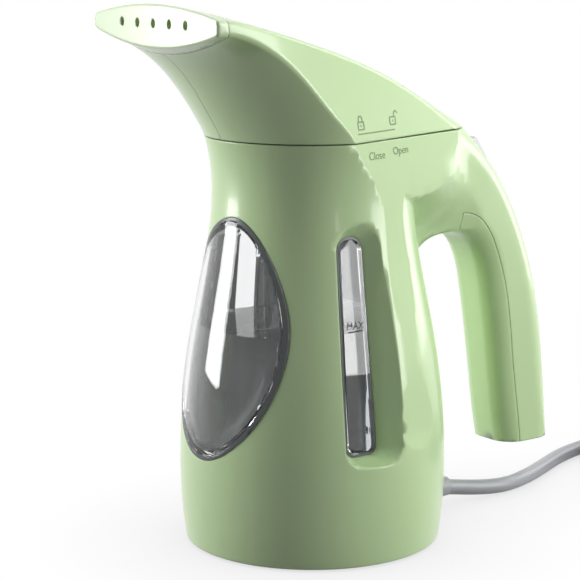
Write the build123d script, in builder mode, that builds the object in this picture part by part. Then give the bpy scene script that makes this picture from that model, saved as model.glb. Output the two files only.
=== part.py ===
"""Handheld garment steamer: a vase-shaped body with a handle arch, a twist-off steam head and a mains cord.

Origin: centre of the base on the surface it stands on. +Z is up, +X points to the handle and -X to
the nozzle. Lengths are in millimetres.
"""
from build123d import *
from math import cos, sin, tan, radians, hypot, pi
import os

os.makedirs("parts", exist_ok=True)

# Driving dimensions of the body
RIM_Z = 0.8
SEAM_Z = 174.0
SEAM_GAP = 0.5
WALL = 2.4
VASE = [(54.6, RIM_Z), (56.8, 44), (52.1, 88), (44.6, 128), (42.4, 151), (45.4, SEAM_Z)]
BASE_EDGE = 1.2
TOP_Z = SEAM_Z - SEAM_GAP / 2
HEAD_Z = SEAM_Z + SEAM_GAP / 2

# Flat flanks that run from the vase to the handle: height and distance from the axis
FLANK_TURN = 16.5
FLANKS = [(40, 60.0), (80, 53.3), (105, 48.5), (128, 44.1), (151, 41.6), (SEAM_Z, 38.9), (192, 37.2)]
FLANK_FRONT = -75
FLANK_END = 66
FLANK_REAR = 150
FLANK_FLARE = 17
FLANK_OUT = 100

# Arch and handle seen from the side (x, z), finger side downwards and outer side upwards, and their half
# widths seen from above
ARCH_INNER = [
    (43, 112),
    (46.5, 119),
    (53, 125),
    (62, 127.5),
    (71.5, 127),
    (78.5, 123),
    (83.5, 116),
    (88.5, 98),
    (94, 62),
    (99.5, 27),
]
ARCH_OUTER = [(130.5, 27), (127, 64), (120, 103), (105.5, 138.5), (90.5, 159), (77, 171), (64.5, 180)]
ARCH_ROOT = [(20, 180), (20, 112)]
ARCH_PLAN = [(20, 38), (46, 31.5), (60, 23.4), (70, 18.8), (80, 16.4), (92, 15), (105, 14.4), (133, 14)]
INNER_EDGE = 10
OUTER_EDGE = 13
HANDLE_BOTTOM = 27
# Keel under the arch: distance behind the axis, then half widths and heights from low to high
KEEL = [
    (16, [(22, 100), (23, 114), (24.5, 128), (29, 140), (37, 150), (44, 162), (54, 190)]),
    (40, [(11, 100), (12, 114), (15, 129), (22, 139.5), (30.5, 149), (37, 160), (47, 190)]),
    (62, [(8, 100), (9.5, 116), (12, 129), (16, 137), (21, 148), (25, 160), (32, 190)]),
    (86, [(16.5, 95), (16.8, 112), (17.2, 125), (18, 140), (19, 152), (21, 165), (25, 190)]),
]
KEEL_OUT = 60
COVER_SEAM = [
    (108, 20),
    (107.4, 27),
    (102.5, 62),
    (97.2, 99),
    (92.5, 114.5),
    (86, 127),
    (78.5, 134),
    (70.5, 136),
]
COVER_GAP = 0.15
# Front window, as half an outline seen from the front (y, z), top to bottom
WINDOW = [(0, 142.2), (26.7, 121.5), (35.2, 88), (25.5, 57.5), (0, 42)]
WINDOW_RIM = 1.9
WINDOW_PROUD = 0.5

# Sight gauge in a sloping recess on each side
GAUGE_X = -9.3
GAUGE_Y = 42.2
GAUGE_Z = 90
GAUGE_LEAN = 5.9
GAUGE_FLOOR = (-44, 46, 7.9, 6.2, 4, 5.9)
GAUGE_MOUTH = (-50, 60, 17, 18.6, 8.5, 15)
GAUGE_DEPTH = 14
GAUGE_RIM = 1.1
GAUGE_PROUD = 1.3

# Tank and heater
TANK_GAP = 1.0
TANK_WALL = 2.2
TANK_LOW = 32
TANK_HIGH = 140.5
TANK_REAR = 37.5
MOUTH_R = 29.5
NECK_R = 31.5
NECK_TOP = 146
HEATER_HOLE_R = 25
ELEMENT_R = 19
ELEMENT_TUBE_R = 3.3

PLATE_TOP = 30.5
PLATE_T = 2.5
PLATE_R = 36.5
PLATE_SCREW_AT = 33

# Collar and bayonet
SEAL_R = 32.6
COLLAR_STEP = 149
COLLAR_R = 34
COLLAR_WALL = 2.6
DECK_DROP = 1.2
DECK_T = 2.2
TAB_R = 31.2
TAB_Z = (166, 169)
TAB_SPAN = 20
SPIGOT_R = 30.6
SPIGOT_WALL = 2.4
SPIGOT_LOW = 158
LUG_R = 33.4
LUG_Z = (162.2, 165.4)
LUG_SPAN = 18
LUG_COUNT = 4

# Head, cut by planes that fan out from one line below the nozzle: angle, front, crease radius and half
# width, top corner radius and half width, ridge
FAN_X = -77.3
HEAD = [
    (0, 31.9, 66.9, 44.2, 137.5, 21.8, 152.6),
    (12, 29.3, 57, 44.8, 103.3, 28.4, 111.4),
    (24, 27.8, 51.3, 45.0, 79.8, 34.8, 85.9),
    (40, 27.7, 47.6, 45.3, 62.3, 40.3, 66.9),
    (62, 30.6, 45.6, 46.0, 52.4, 44.2, 56.2),
    (90, 38.5, 44.6, 46.5, 50.8, 46.3, 55.8),
]
HEAD_WALL = 2.4
HEAD_EDGE = 2.6
HALF_GAP = 0.08
NOZZLE_BACK = -72.4
HEAD_FRONT = -72.2
HOLE_COUNT = 5
HOLE_PITCH = 11.84
HOLE_W = 3.2
HOLE_H = 4.0
HOLE_Z = 222
SPIGOT_X = -66
NOZZLE_EDGE = 1.2
DUCT_INSET = 4.6
DUCT_WALL = 1.1
BASE_PLATE_Z = (174.4, 176.6)
GASKET_Z = 172.9
BAFFLE_Z = 160

# Rocker switch on the back of the handle
ROCKER_X = 90.3
ROCKER_Z = 159.3
ROCKER_TILT = 48
ROCKER_LONG = 10.8
ROCKER_HALF = 5.6
ROCKER_PIVOT = -4
PIN_R = 1.25

# Base
BASE_T = 3.0
BASE_R = 50.7
BOSS_AT = 45.5
BOSS_R = 3.4
BOSS_RIB = 8.8
BOSS_RIB_TALL = 13
SCREW_R = 1.5
HEAD_SCREW_R = 2.8
FOOT_AT = 38
FOOT_R = 6.3
FOOT_T = 1.2
BLOCK_X = 34
HARNESS = [
    (36.9, 0, 16),
    (36.9, 0, 21),
    (43, 0, 29),
    (43.4, 0, 60),
    (42.8, 0, 95),
    (40.4, 0, 127),
    (50, 0, 136),
    (63, 0, 138.3),
    (75.4, 0, 145.9),
]
HARNESS_R = 1.6
EAR_LONG = 7
EAR_IN = 6.0
EAR_OUT = 7.4
SLOT_LONG = 11.7
SLOT_HALF = 6.2

# Cord
CORD_D = 7
CORD_R = CORD_D / 2
CORD_ROUTE = [
    (44, 0, 10.98),
    (59, 0, 9.59),
    (75, -0.3, 7.9),
    (91, -2.6, 5.2),
    (108, -3.4, 3.6),
    (126, 1.6, 3.6),
    (144, 9.8, 3.6),
    (165, 20.3, 3.6),
    (190, 26.6, 3.8),
    (215, 22, 4.1),
    (239, 14.9, 4.3),
]
GLAND = [
    (5, 3.5),
    (5, 7),
    (7, 7),
    (7, 5.2),
    (11.6, 5.2),
    (11.6, 7.4),
    (14.2, 7.4),
    (16, 6.2),
    (31.5, 4.3),
    (31.5, 3.5),
]
GLAND_NECK_R = 5.2
CLAMP_X = 44.5
CLAMP_SCREW_Y = 6.8
COIL_CENTRE = (214, -29)
COIL_TURNS = 4
COIL_LAYERS = 2
COIL_MID_R = 40
COIL_LIFT = 0.8
TIE_W = 9
TIE_SLACK = 1
PLUG_X = 266.5
PLUG_Z = 7.8
PLUG_TAIL = 56
PLUG_BACK = 80.5
PLUG_FACE = 105.5


def vase_form(grow):
    """Round body, grown outwards by a number of millimetres, open above the seam."""
    points = [(r + grow, z) for r, z in VASE]
    with BuildPart() as form:
        with BuildSketch(Plane.XZ):
            with BuildLine():
                Spline(*points)
                Polyline(points[-1], (points[-1][0], SEAM_Z + 20), (0, SEAM_Z + 20), (0, RIM_Z), points[0])
            make_face()
        revolve(axis=Axis.Z)
    return form.part


def cheek_form(inset):
    """Space beside one flat flank, on the -Y side, moved in by a number of millimetres."""
    slope = sin(radians(FLANK_TURN))
    across = cos(radians(FLANK_TURN))
    with BuildPart() as form:
        for z, reach in FLANKS:
            front = (reach - inset - slope * FLANK_FRONT) / across
            end = (reach - inset - slope * FLANK_END) / across
            rear = end + FLANK_FLARE
            with BuildSketch(Plane.XY.offset(z)):
                Polygon((FLANK_FRONT, -front), (FLANK_FRONT, -FLANK_OUT), (FLANK_REAR, -FLANK_OUT),
                        (FLANK_REAR, -rear), (FLANK_END, -end), align=None)
        loft()
    return form.part


def shifted(points, inset):
    """Points of a side outline moved to the left of its direction by a number of millimetres."""
    moved = []
    for k, (x, z) in enumerate(points):
        before = points[max(k - 1, 0)]
        after = points[min(k + 1, len(points) - 1)]
        dx = after[0] - before[0]
        dz = after[1] - before[1]
        run = hypot(dx, dz)
        moved.append((x - inset * dz / run, z + inset * dx / run))
    return moved


def keel_form(inset):
    """Space beside the keel of the arch, on the -Y side, moved in by a number of millimetres."""
    with BuildPart() as form:
        for x, rise in KEEL:
            edge = [(inset - width, z) for width, z in rise]
            with BuildSketch(Plane.YZ.offset(x)):
                with BuildLine():
                    Spline(*edge)
                    Polyline(edge[-1], (-KEEL_OUT, edge[-1][1]), (-KEEL_OUT, edge[0][1]), edge[0])
                make_face()
        loft()
    return form.part


def arch_form(inset):
    """Arch and handle: the side outline cut to the width from above, drawn in by millimetres."""
    floor = HANDLE_BOTTOM + inset
    finger = shifted(ARCH_INNER, inset)
    back = shifted(ARCH_OUTER, inset)
    finger[-1] = (finger[-1][0], floor)
    back[0] = (back[0][0], floor)
    keel = keel_form(inset)
    with BuildPart() as form:
        with BuildSketch(Plane.XZ.offset(-50)):
            with BuildLine():
                Spline(*finger)
                Line(finger[-1], back[0])
                Spline(*back)
                Polyline(back[-1], ARCH_ROOT[0], ARCH_ROOT[1], finger[0])
            make_face()
        extrude(amount=100)
        with BuildSketch(Plane.XY):
            near = [(x, inset - width) for x, width in ARCH_PLAN]
            far = [(x, width - inset) for x, width in ARCH_PLAN]
            with BuildLine():
                Spline(*near)
                Spline(*far)
                Line(near[0], far[0])
                Line(near[-1], far[-1])
            make_face()
        extrude(amount=200, mode=Mode.INTERSECT)
        long_edges = form.edges().filter_by(lambda e: abs(e.center().Y) > 5 and e.length > 60)
        sides = long_edges.filter_by(lambda e: e.center().X > 50).sort_by(Axis.X)
        fillet(sides[:2], INNER_EDGE - inset)
        long_edges = form.edges().filter_by(lambda e: abs(e.center().Y) > 5 and e.length > 60)
        sides = long_edges.filter_by(lambda e: e.center().X > 50).sort_by(Axis.X)
        fillet(sides[-2:], OUTER_EDGE - inset)
        add(keel, mode=Mode.SUBTRACT)
        add(mirror(keel, about=Plane.XZ, mode=Mode.PRIVATE), mode=Mode.SUBTRACT)
    return form.part


def head_form(inset):
    """Steam head lofted through planes that fan out from the nozzle, drawn in by millimetres."""
    with BuildPart() as form:
        for angle, front, crease, crease_w, corner, corner_w, top in HEAD:
            turn = radians(angle)
            along = (cos(turn), 0, sin(turn))
            plane = Plane((FAN_X, 0, SEAM_Z), x_dir=along, z_dir=(-sin(turn), 0, cos(turn)))
            crease_w = crease_w - inset
            corner_w = corner_w - inset
            corner = corner - inset / 2
            with BuildSketch(plane):
                with BuildLine():
                    ThreePointArc((crease, -crease_w), (front + inset, 0), (crease, crease_w))
                    Line((crease, crease_w), (corner, corner_w))
                    ThreePointArc((corner, corner_w), (top - inset, 0), (corner, -corner_w))
                    Line((corner, -corner_w), (crease, -crease_w))
                make_face()
        loft()
    return form.part


def inner_form(inset):
    """Body form drawn in by a number of millimetres: vase and arch between the flat flanks."""
    vase = vase_form(-inset)
    arch = arch_form(inset)
    cheek = cheek_form(inset)
    with BuildPart() as form:
        add(vase)
        add(arch)
        add(cheek, mode=Mode.SUBTRACT)
        add(mirror(cheek, about=Plane.XZ, mode=Mode.PRIVATE), mode=Mode.SUBTRACT)
    return form.part


def window_form(grow):
    """Space in front of the window outline, grown by a number of millimetres."""
    wide = 1 + grow / 35.2
    tall = 1 + grow / 50.1
    near = [(y * wide, 92.1 + (z - 92.1) * tall) for y, z in WINDOW]
    far = [(-y, z) for y, z in reversed(near[1:-1])]
    with BuildPart() as form:
        with BuildSketch(Plane.YZ):
            with BuildLine():
                Spline(*near, *far, periodic=True)
            make_face()
        extrude(amount=-75)
    return form.part


def gauge_plane(out):
    """Plane of the gauge floor on the -Y side, moved outwards by a number of millimetres."""
    lean = radians(GAUGE_LEAN)
    plane = Plane((GAUGE_X, -GAUGE_Y, GAUGE_Z), x_dir=(1, 0, 0), z_dir=(0, -cos(lean), sin(lean)))
    return plane.offset(out)


def gauge_sketch(outline, grow):
    """Rounded upright outline of the gauge, grown by a number of millimetres."""
    low, high, low_w, high_w, low_r, high_r = outline
    with BuildSketch() as sketch:
        Polygon((-low_w - grow, low - grow), (low_w + grow, low - grow), (high_w + grow, high + grow),
                (-high_w - grow, high + grow), align=None)
        fillet(sketch.vertices().sort_by(Axis.Y)[:2], low_r + grow)
        fillet(sketch.vertices().sort_by(Axis.Y)[-2:], high_r + grow)
    return sketch.sketch


def gauge_recess(grow):
    """Sloping recess of the gauge on the -Y side, grown by a number of millimetres."""
    floor = gauge_sketch(GAUGE_FLOOR, grow)
    mouth = gauge_sketch(GAUGE_MOUTH, grow)
    with BuildPart() as form:
        with BuildSketch(gauge_plane(-grow)):
            add(floor)
        with BuildSketch(gauge_plane(GAUGE_DEPTH)):
            add(mouth)
        loft()
    return form.part


def gauge_block(grow, low, high):
    """Upright block on the gauge floor outline, between two distances from the floor."""
    floor = gauge_sketch(GAUGE_FLOOR, grow)
    with BuildPart() as form:
        with BuildSketch(gauge_plane(low)):
            add(floor)
        extrude(amount=high - low)
    return form.part


def gauge_side(depth):
    """Space outside a plane that lies a number of millimetres behind the gauge floor, on the -Y side."""
    with BuildPart() as form:
        with BuildSketch(gauge_plane(-depth)):
            Rectangle(200, 300)
        extrude(amount=80)
    return form.part


def both_sides(shape):
    """A shape and its mirror image on the other side of the object."""
    return [shape, mirror(shape, about=Plane.XZ, mode=Mode.PRIVATE)]


def cover_region(gap):
    """Space on the finger side of the handle seam, grown by a gap."""
    seam = [(x + gap, z + gap) for x, z in COVER_SEAM[:-1]]
    end = (COVER_SEAM[-1][0] - gap, COVER_SEAM[-1][1] + gap)
    with BuildPart() as form:
        with BuildSketch(Plane.XZ.offset(-40)):
            with BuildLine():
                Spline(*seam, end)
                Polyline(end, (end[0], 100), (80, 20 + gap), seam[0])
            make_face()
        extrude(amount=80)
    return form.part


def polar_point(radius, angle):
    """Point at a radius and an angle in degrees."""
    return (radius * cos(radians(angle)), radius * sin(radians(angle)))


def route_radii(points):
    """Bend radii of a cord route: each turn takes 0.45 of the shorter run beside it."""
    radii = []
    for before, here, after in zip(points, points[1:], points[2:]):
        one = Vector(here) - Vector(before)
        two = Vector(after) - Vector(here)
        half = radians(one.get_angle(two)) / 2
        radii.append(0.45 * min(one.length, two.length) / tan(half))
    return radii


def tube_form(points, radius):
    """Round tube along a route with rounded turns."""
    radii = route_radii(points)
    with BuildPart() as form:
        with BuildLine() as path:
            FilletPolyline(*points, radius=radii)
        with BuildSketch(Plane(points[0], z_dir=Vector(points[1]) - Vector(points[0]))):
            Circle(radius)
        sweep()
    length = sum(edge.length for edge in path.edges())
    filled = form.part.volume / (pi * radius ** 2 * length)
    print("tube", round(length, 1), [round(r) for r in radii], round(filled, 4))
    return form.part


outer = inner_form(0)
hollow = inner_form(WALL)
recess = gauge_recess(0)
backing = gauge_recess(WALL)
aperture = gauge_block(0, -WALL - 2, 2)
window = window_form(0)
cover_space = cover_region(0)
cover_gap = cover_region(COVER_GAP)
window_inner = window_form(-WINDOW_RIM)
rocker_way = (cos(radians(ROCKER_TILT)), 0, -sin(radians(ROCKER_TILT)))
rocker_plane = Plane((ROCKER_X, 0, ROCKER_Z), x_dir=rocker_way, z_dir=(0, -1, 0))
cord_way = Vector(CORD_ROUTE[1]) - Vector(CORD_ROUTE[0])
cord_line = Plane(CORD_ROUTE[0], x_dir=(0, 1, 0), z_dir=cord_way)

with BuildPart() as wall:
    add(outer)
    split(bisect_by=Plane.XY.offset(TOP_Z), keep=Keep.BOTTOM)
    rim = wall.edges().filter_by(GeomType.CIRCLE).filter_by(lambda e: e.center().Z < RIM_Z + 0.1)
    fillet(rim, BASE_EDGE)

with BuildPart() as cavity:
    add(hollow)
    for side in both_sides(backing):
        add(side, mode=Mode.SUBTRACT)

with BuildPart() as skin:
    add(wall.part)
    add(cavity.part, mode=Mode.SUBTRACT)

with BuildPart() as body_shell:
    add(skin.part)
    for side in both_sides(recess):
        add(side, mode=Mode.SUBTRACT)
    for side in both_sides(aperture):
        add(side, mode=Mode.SUBTRACT)
    add(window, mode=Mode.SUBTRACT)
    add(cover_gap, mode=Mode.SUBTRACT)
    with BuildSketch(rocker_plane):
        with Locations((0, 1)):
            Rectangle(2 * SLOT_LONG, 10)
    extrude(amount=SLOT_HALF, both=True, mode=Mode.SUBTRACT)
    with BuildSketch(rocker_plane):
        with Locations((0, ROCKER_PIVOT - 0.2)):
            Rectangle(EAR_LONG + 0.6, 3.5)
    extrude(amount=EAR_OUT + 0.2, both=True, mode=Mode.SUBTRACT)
    with BuildSketch(cord_line):
        Circle(GLAND_NECK_R)
    extrude(amount=20, mode=Mode.SUBTRACT)
    with BuildSketch(Plane.XY.offset(BASE_T)):
        with PolarLocations(BOSS_AT, 4, start_angle=45):
            Circle(BOSS_R)
    extrude(amount=TANK_LOW - BASE_T)
    with BuildSketch(Plane.XY.offset(BASE_T)):
        with PolarLocations(BOSS_AT + BOSS_RIB / 2, 4, start_angle=45):
            Rectangle(BOSS_RIB, 2.4)
    extrude(amount=BOSS_RIB_TALL)
    with BuildSketch(Plane.XY.offset(BASE_T)):
        with PolarLocations(BOSS_AT, 4, start_angle=45):
            Circle(SCREW_R)
    extrude(amount=14, mode=Mode.SUBTRACT)
body_shell.part.label = "body_shell"
export_step(body_shell.part, "parts/body_shell.step")

with BuildPart() as handle_cover:
    add(skin.part)
    add(cover_space, mode=Mode.INTERSECT)
handle_cover.part.label = "handle_cover"
export_step(handle_cover.part, "parts/handle_cover.step")

# Seals of the window and of the two gauges
gasket_out = vase_form(0.3)
gasket_in = vase_form(-WALL)
with BuildPart() as window_gasket:
    add(gasket_out)
    add(gasket_in, mode=Mode.SUBTRACT)
    add(window, mode=Mode.INTERSECT)
    add(window_inner, mode=Mode.SUBTRACT)
window_gasket.part.label = "window_gasket"
export_step(window_gasket.part, "parts/window_gasket.step")

rim_out = gauge_block(0, -WALL, 0.4)
rim_in = gauge_block(-GAUGE_RIM, -WALL - 1, 2)
with BuildPart() as gauge_gasket_left:
    add(rim_out)
    add(rim_in, mode=Mode.SUBTRACT)
gauge_gasket_left.part.label = "gauge_gasket_left"
export_step(gauge_gasket_left.part, "parts/gauge_gasket_left.step")

with BuildPart() as gauge_gasket_right:
    add(mirror(gauge_gasket_left.part, about=Plane.XZ, mode=Mode.PRIVATE))
gauge_gasket_right.part.label = "gauge_gasket_right"
export_step(gauge_gasket_right.part, "parts/gauge_gasket_right.step")


def tank_form(inset, low, high, rear):
    """Tank form between its floor and shoulder, with flats behind the gauges and at the rear."""
    vase = vase_form(-inset)
    flat = gauge_side(inset)
    cheek = cheek_form(inset)
    with BuildPart() as form:
        add(vase)
        for space in both_sides(flat):
            add(space, mode=Mode.SUBTRACT)
        for space in both_sides(cheek):
            add(space, mode=Mode.SUBTRACT)
        split(bisect_by=Plane.XY.offset(low), keep=Keep.TOP)
        split(bisect_by=Plane.XY.offset(high), keep=Keep.BOTTOM)
        split(bisect_by=Plane.YZ.offset(rear), keep=Keep.BOTTOM)
    return form.part


tank_inset = WALL + TANK_GAP
tank_outer = tank_form(tank_inset, TANK_LOW, TANK_HIGH, TANK_REAR)
tank_inner = tank_form(tank_inset + TANK_WALL, TANK_LOW + 2.5, TANK_HIGH - TANK_WALL, TANK_REAR - TANK_WALL)
boss_out = vase_form(WINDOW_PROUD)
boss_in = vase_form(WINDOW_PROUD - TANK_WALL)
window_core = window_form(-WINDOW_RIM - TANK_WALL)
pad = gauge_block(-GAUGE_RIM, -tank_inset - 1, GAUGE_PROUD)
with BuildPart() as window_boss:
    add(boss_out)
    add(window_inner, mode=Mode.INTERSECT)
with BuildPart() as window_hollow:
    add(boss_in)
    add(window_core, mode=Mode.INTERSECT)
with BuildPart() as water_tank:
    add(tank_outer)
    add(window_boss.part)
    with BuildSketch(Plane.XY.offset(TANK_HIGH - 1)):
        Circle(NECK_R)
    extrude(amount=NECK_TOP - TANK_HIGH + 1)
    add(tank_inner, mode=Mode.SUBTRACT)
    add(window_hollow.part, mode=Mode.SUBTRACT)
    with BuildSketch(Plane.XY.offset(TANK_HIGH - 4)):
        Circle(MOUTH_R)
    extrude(amount=20, mode=Mode.SUBTRACT)
    with BuildSketch(Plane.XY.offset(TANK_LOW - 1)):
        Circle(HEATER_HOLE_R)
    extrude(amount=5, mode=Mode.SUBTRACT)
    for side in both_sides(pad):
        add(side)
    with BuildSketch(Plane.XY.offset(PLATE_TOP)):
        with PolarLocations(PLATE_SCREW_AT, 4):
            Circle(3)
    extrude(amount=TANK_LOW - PLATE_TOP)
    with BuildSketch(Plane.XY.offset(PLATE_TOP)):
        with PolarLocations(PLATE_SCREW_AT, 4):
            Circle(SCREW_R)
    extrude(amount=3, mode=Mode.SUBTRACT)
water_tank.part.label = "water_tank"
export_step(water_tank.part, "parts/water_tank.step")

with BuildPart() as tank_seal:
    with BuildSketch(Plane.XY.offset(141)):
        Circle(SEAL_R)
        Circle(NECK_R, mode=Mode.SUBTRACT)
    extrude(amount=4)
tank_seal.part.label = "tank_seal"
export_step(tank_seal.part, "parts/tank_seal.step")

deck_form = inner_form(WALL + 0.2)
with BuildPart() as neck_collar:
    add(deck_form)
    split(bisect_by=Plane.XY.offset(TOP_Z - DECK_DROP - DECK_T), keep=Keep.TOP)
    split(bisect_by=Plane.XY.offset(TOP_Z - DECK_DROP), keep=Keep.BOTTOM)
    with BuildSketch(Plane.XY.offset(COLLAR_STEP)):
        Circle(COLLAR_R + COLLAR_WALL)
    extrude(amount=TOP_Z - DECK_DROP - COLLAR_STEP)
    with BuildSketch(Plane.XY.offset(COLLAR_STEP + 2)):
        Circle(COLLAR_R)
    extrude(amount=40, mode=Mode.SUBTRACT)
    with BuildSketch(Plane.XY.offset(141)):
        Circle(SEAL_R + COLLAR_WALL)
    extrude(amount=COLLAR_STEP - 141)
    with BuildSketch(Plane.XY.offset(140)):
        Circle(SEAL_R)
    extrude(amount=COLLAR_STEP - 138, mode=Mode.SUBTRACT)
    for turn in range(LUG_COUNT):
        with BuildSketch(Plane.XY.offset(TAB_Z[0]).rotated((0, 0, turn * 360 / LUG_COUNT))):
            with BuildLine():
                CenterArc((0, 0), COLLAR_R + 0.8, -TAB_SPAN / 2, TAB_SPAN)
                CenterArc((0, 0), TAB_R, -TAB_SPAN / 2, TAB_SPAN)
                PolarLine(polar_point(TAB_R, TAB_SPAN / 2), COLLAR_R + 0.8 - TAB_R, TAB_SPAN / 2)
                PolarLine(polar_point(TAB_R, -TAB_SPAN / 2), COLLAR_R + 0.8 - TAB_R, -TAB_SPAN / 2)
            make_face()
        extrude(amount=TAB_Z[1] - TAB_Z[0])
neck_collar.part.label = "neck_collar"
export_step(neck_collar.part, "parts/neck_collar.step")

# Heater under the tank
with BuildPart() as heater_seal:
    with BuildSketch(Plane.XY.offset(PLATE_TOP)):
        Circle(29.4)
        Circle(HEATER_HOLE_R + 0.5, mode=Mode.SUBTRACT)
    extrude(amount=TANK_LOW - PLATE_TOP)
heater_seal.part.label = "heater_seal"
export_step(heater_seal.part, "parts/heater_seal.step")

with BuildPart() as heater_plate:
    with BuildSketch(Plane.XY.offset(PLATE_TOP - PLATE_T)):
        Circle(PLATE_R)
        with PolarLocations(PLATE_SCREW_AT, 4):
            Circle(SCREW_R, mode=Mode.SUBTRACT)
    extrude(amount=PLATE_T)
    rim = heater_plate.edges().filter_by(GeomType.CIRCLE).filter_by(lambda e: e.radius > PLATE_R - 1)
    chamfer(rim, 0.6)
heater_plate.part.label = "heater_plate"
export_step(heater_plate.part, "parts/heater_plate.step")

with BuildPart() as heater_screws:
    with BuildSketch(Plane.XY.offset(PLATE_TOP - PLATE_T - 1.8)):
        with PolarLocations(PLATE_SCREW_AT, 4):
            Circle(2.8)
    extrude(amount=1.8)
    with BuildSketch(Plane.XY.offset(PLATE_TOP - PLATE_T)):
        with PolarLocations(PLATE_SCREW_AT, 4):
            Circle(SCREW_R)
    extrude(amount=PLATE_T + 3)
heater_screws.part.label = "heater_screws"
export_step(heater_screws.part, "parts/heater_screws.step")

element_z = PLATE_TOP - PLATE_T - ELEMENT_TUBE_R
with BuildPart() as heating_element:
    with BuildSketch(Plane.XZ):
        with Locations((ELEMENT_R, element_z)):
            Circle(ELEMENT_TUBE_R)
    revolve(axis=Axis.Z, revolution_arc=250)
    ends = heating_element.faces().filter_by(GeomType.PLANE)
    extrude(ends, amount=4)
    tips = heating_element.faces().filter_by(GeomType.PLANE)
    for tip in tips:
        with BuildSketch(Plane(tip)):
            Circle(1.4)
        extrude(amount=5)
heating_element.part.label = "heating_element"
export_step(heating_element.part, "parts/heating_element.step")

with BuildPart() as thermostat:
    with BuildSketch(Plane.XY.offset(PLATE_TOP - PLATE_T - 7)):
        Circle(8)
    extrude(amount=7)
    with BuildSketch(Plane.XY.offset(PLATE_TOP - PLATE_T - 13)):
        with Locations((-4, 0), (4, 0)):
            Rectangle(0.8, 6.3)
    extrude(amount=6)
thermostat.part.label = "thermostat"
export_step(thermostat.part, "parts/thermostat.step")

with BuildPart() as thermal_fuse:
    with BuildSketch(Plane.XZ.offset(-8)):
        with Locations((-27, PLATE_TOP - PLATE_T - 2)):
            Circle(2)
    extrude(amount=16)
    with BuildSketch(Plane.XZ.offset(-14)):
        with Locations((-27, PLATE_TOP - PLATE_T - 2)):
            Circle(0.6)
    extrude(amount=28)
thermal_fuse.part.label = "thermal_fuse"
export_step(thermal_fuse.part, "parts/thermal_fuse.step")

# Base
with BuildPart() as base_cover:
    with BuildSketch():
        Circle(BASE_R)
    extrude(amount=BASE_T)
    with BuildSketch():
        with PolarLocations(FOOT_AT, 4):
            Circle(FOOT_R)
    extrude(amount=FOOT_T, mode=Mode.SUBTRACT)
    with BuildSketch():
        with PolarLocations(BOSS_AT, 4, start_angle=45):
            Circle(HEAD_SCREW_R + 0.3)
    extrude(amount=1.6, mode=Mode.SUBTRACT)
    with BuildSketch():
        with PolarLocations(BOSS_AT, 4, start_angle=45):
            Circle(SCREW_R)
    extrude(amount=BASE_T, mode=Mode.SUBTRACT)
    with BuildSketch(Plane.XY.offset(BASE_T)):
        with Locations((CLAMP_X, CLAMP_SCREW_Y), (CLAMP_X, -CLAMP_SCREW_Y)):
            Circle(SCREW_R)
    extrude(amount=-1.6, mode=Mode.SUBTRACT)
base_cover.part.label = "base_cover"
export_step(base_cover.part, "parts/base_cover.step")

with BuildPart() as base_screws:
    with BuildSketch(Plane.XY.offset(0.3)):
        with PolarLocations(BOSS_AT, 4, start_angle=45):
            Circle(HEAD_SCREW_R)
    extrude(amount=1.3)
    with BuildSketch(Plane.XY.offset(1.6)):
        with PolarLocations(BOSS_AT, 4, start_angle=45):
            Circle(SCREW_R)
    extrude(amount=BASE_T + 14 - 1.6)
base_screws.part.label = "base_screws"
export_step(base_screws.part, "parts/base_screws.step")

with BuildPart() as rubber_feet:
    with BuildSketch():
        with PolarLocations(FOOT_AT, 4):
            Circle(FOOT_R)
    extrude(amount=FOOT_T)
rubber_feet.part.label = "rubber_feet"
export_step(rubber_feet.part, "parts/rubber_feet.step")

with BuildPart() as terminal_block:
    with BuildSketch(Plane.XY.offset(BASE_T)):
        with Locations((BLOCK_X, 0)):
            Rectangle(12, 20)
    extrude(amount=13)
    upright = terminal_block.edges().filter_by(Axis.Z)
    fillet(upright, 1.2)
    with BuildSketch(Plane.XY.offset(BASE_T + 13)):
        with Locations((BLOCK_X, -6), (BLOCK_X, 0), (BLOCK_X, 6)):
            Circle(1.8)
    extrude(amount=-5, mode=Mode.SUBTRACT)
terminal_block.part.label = "terminal_block"
export_step(terminal_block.part, "parts/terminal_block.step")

harness = tube_form(HARNESS, HARNESS_R)
with BuildPart() as wiring:
    add(harness)
wiring.part.label = "wiring"
export_step(wiring.part, "parts/wiring.step")

# Rocker switch
with BuildPart() as power_rocker:
    with BuildSketch(rocker_plane.offset(-ROCKER_HALF)) as profile:
        with BuildLine():
            Spline((-ROCKER_LONG + 1.2, 2.2), (0, 0.9), (ROCKER_LONG, -0.9))
            Polyline((ROCKER_LONG, -0.9), (ROCKER_LONG - 0.6, -3), (3.4, -6), (-3.4, -6),
                     (-ROCKER_LONG + 0.6, -3), (-ROCKER_LONG, -1), (-ROCKER_LONG + 1.2, 2.2))
        make_face()
        with Locations((0, ROCKER_PIVOT)):
            Circle(PIN_R + 0.05, mode=Mode.SUBTRACT)
    extrude(amount=2 * ROCKER_HALF)
power_rocker.part.label = "power_rocker"
export_step(power_rocker.part, "parts/power_rocker.step")

with BuildPart() as rocker_pin:
    with BuildSketch(rocker_plane.offset(-EAR_OUT)):
        with Locations((0, ROCKER_PIVOT)):
            Circle(PIN_R)
    extrude(amount=2 * EAR_OUT)
rocker_pin.part.label = "rocker_pin"
export_step(rocker_pin.part, "parts/rocker_pin.step")

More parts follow.
